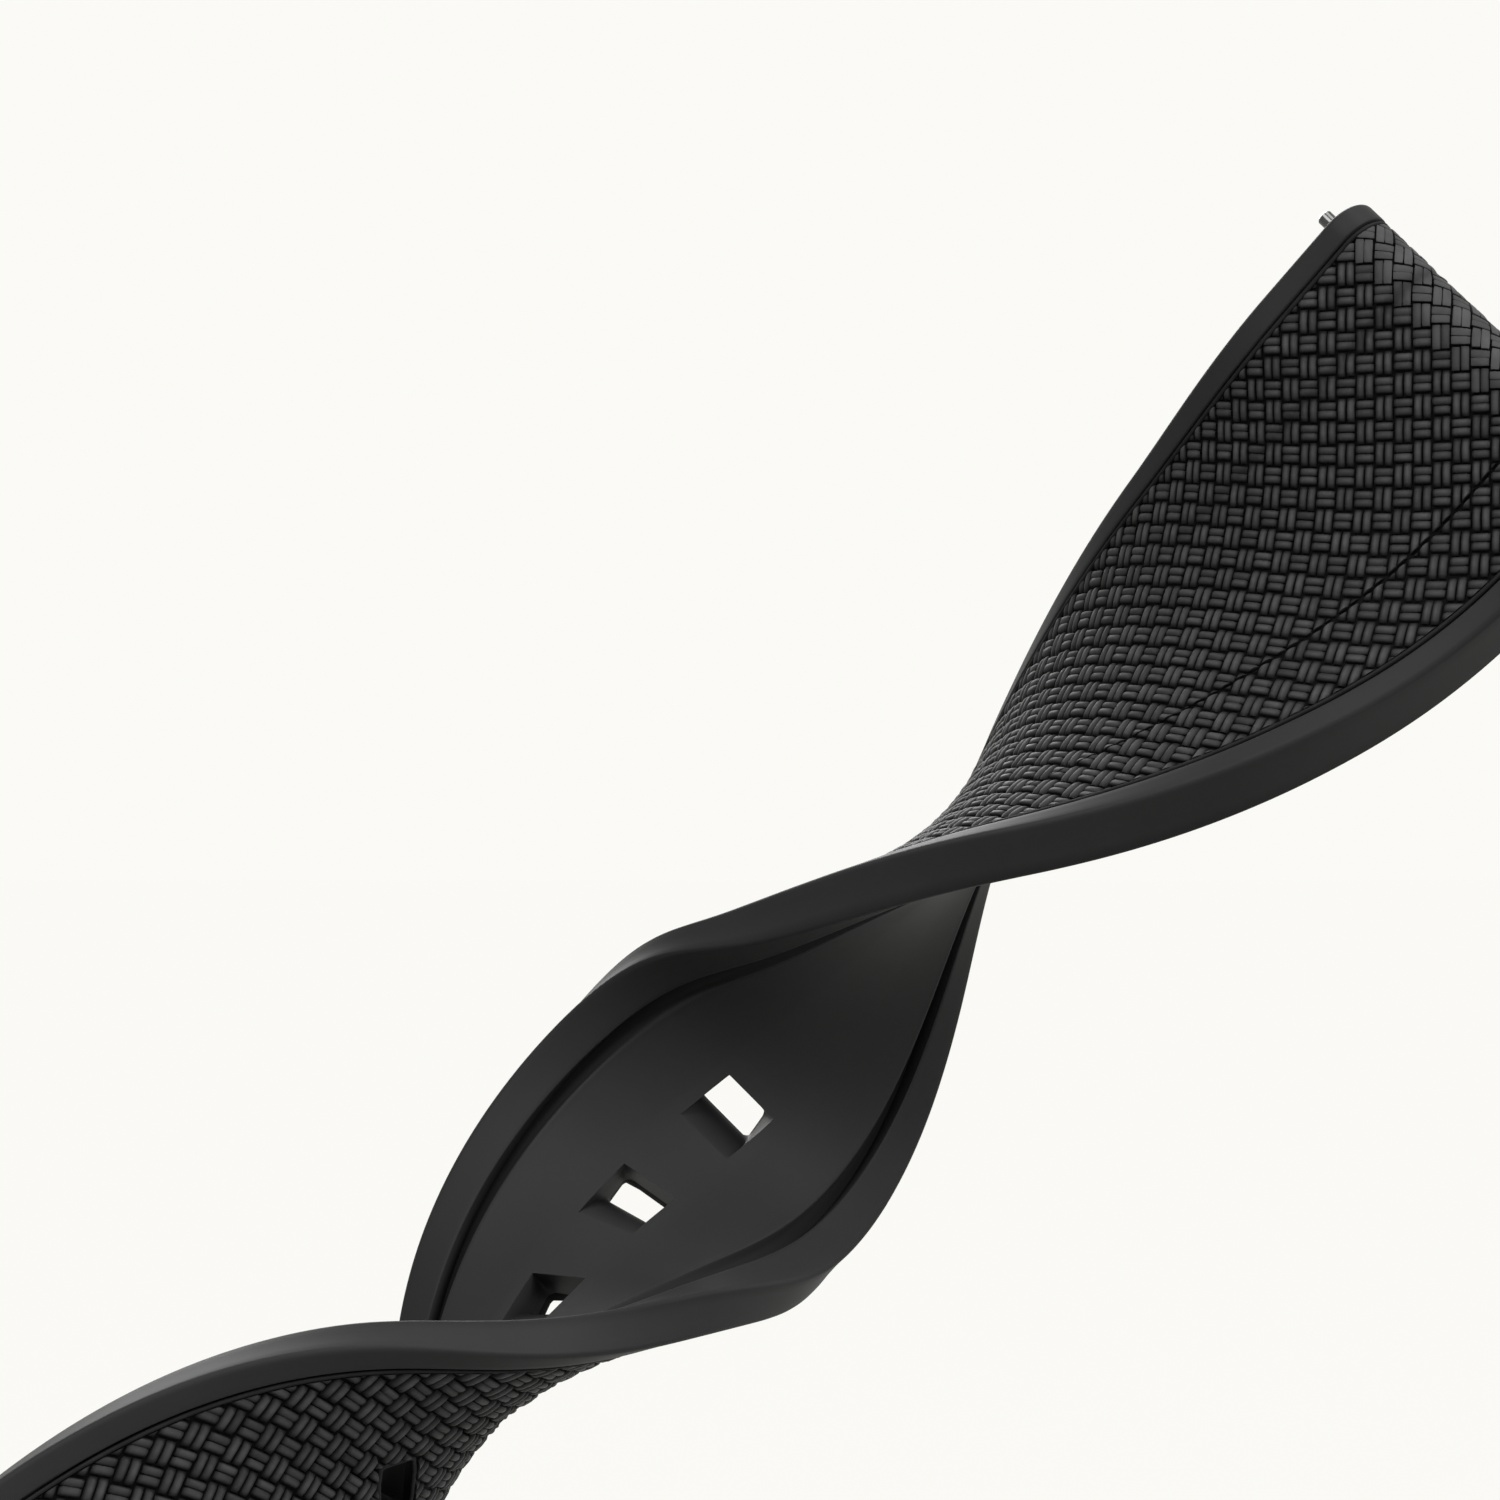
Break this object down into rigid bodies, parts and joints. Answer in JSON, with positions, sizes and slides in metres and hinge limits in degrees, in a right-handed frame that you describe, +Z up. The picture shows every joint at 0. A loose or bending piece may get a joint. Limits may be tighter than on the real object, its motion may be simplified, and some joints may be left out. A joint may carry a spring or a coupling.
{
  "type": "rubber watch strap half",
  "caption": "Long half of a twisted rubber watch strap with a woven panel, adjustment holes and a quick-release spring bar at its lug end.",
  "frame": {"origin": "middle of the spring bar, on its axis", "axes": "+Z up and +X to the right as in the picture, and the viewer looks along +Y. The strap leaves the origin down to the left, and the bar runs from upper left to lower right."},
  "size_m": [0.0891, 0.0416, 0.0828],
  "materials": {
    "rubber": "satin",
    "weave": "semi-gloss strands",
    "steel": "brushed",
    "tip_steel": "turned",
    "knob_steel": "polished",
    "spring_steel": "drawn wire"
  },
  "bodies": {
    "strap": {"strap_body": "rubber", "weave_panel": "weave"},
    "spring_bar": {"bar_tube": "steel", "fixed_tip": "tip_steel", "bar_spring": "spring_steel"},
    "release": {"sliding_tip": "tip_steel", "release_knob": "knob_steel"}
  },
  "joints": [
    {"name": "bar_swivel", "type": "hinge", "parent": "strap", "child": "spring_bar", "pos_m": [0, 0, 0], "axis": [0.6044, -0.4462, -0.66], "range_deg": [-10, 50]},
    {"name": "tip_release", "type": "slide", "parent": "spring_bar", "child": "release", "axis": [0.6044, -0.4462, -0.66], "range_m": [0, 0.0016], "stiffness_N_per_m": 1000, "springref_m": -0.001, "deforming": ["bar_spring"]}
  ]
}
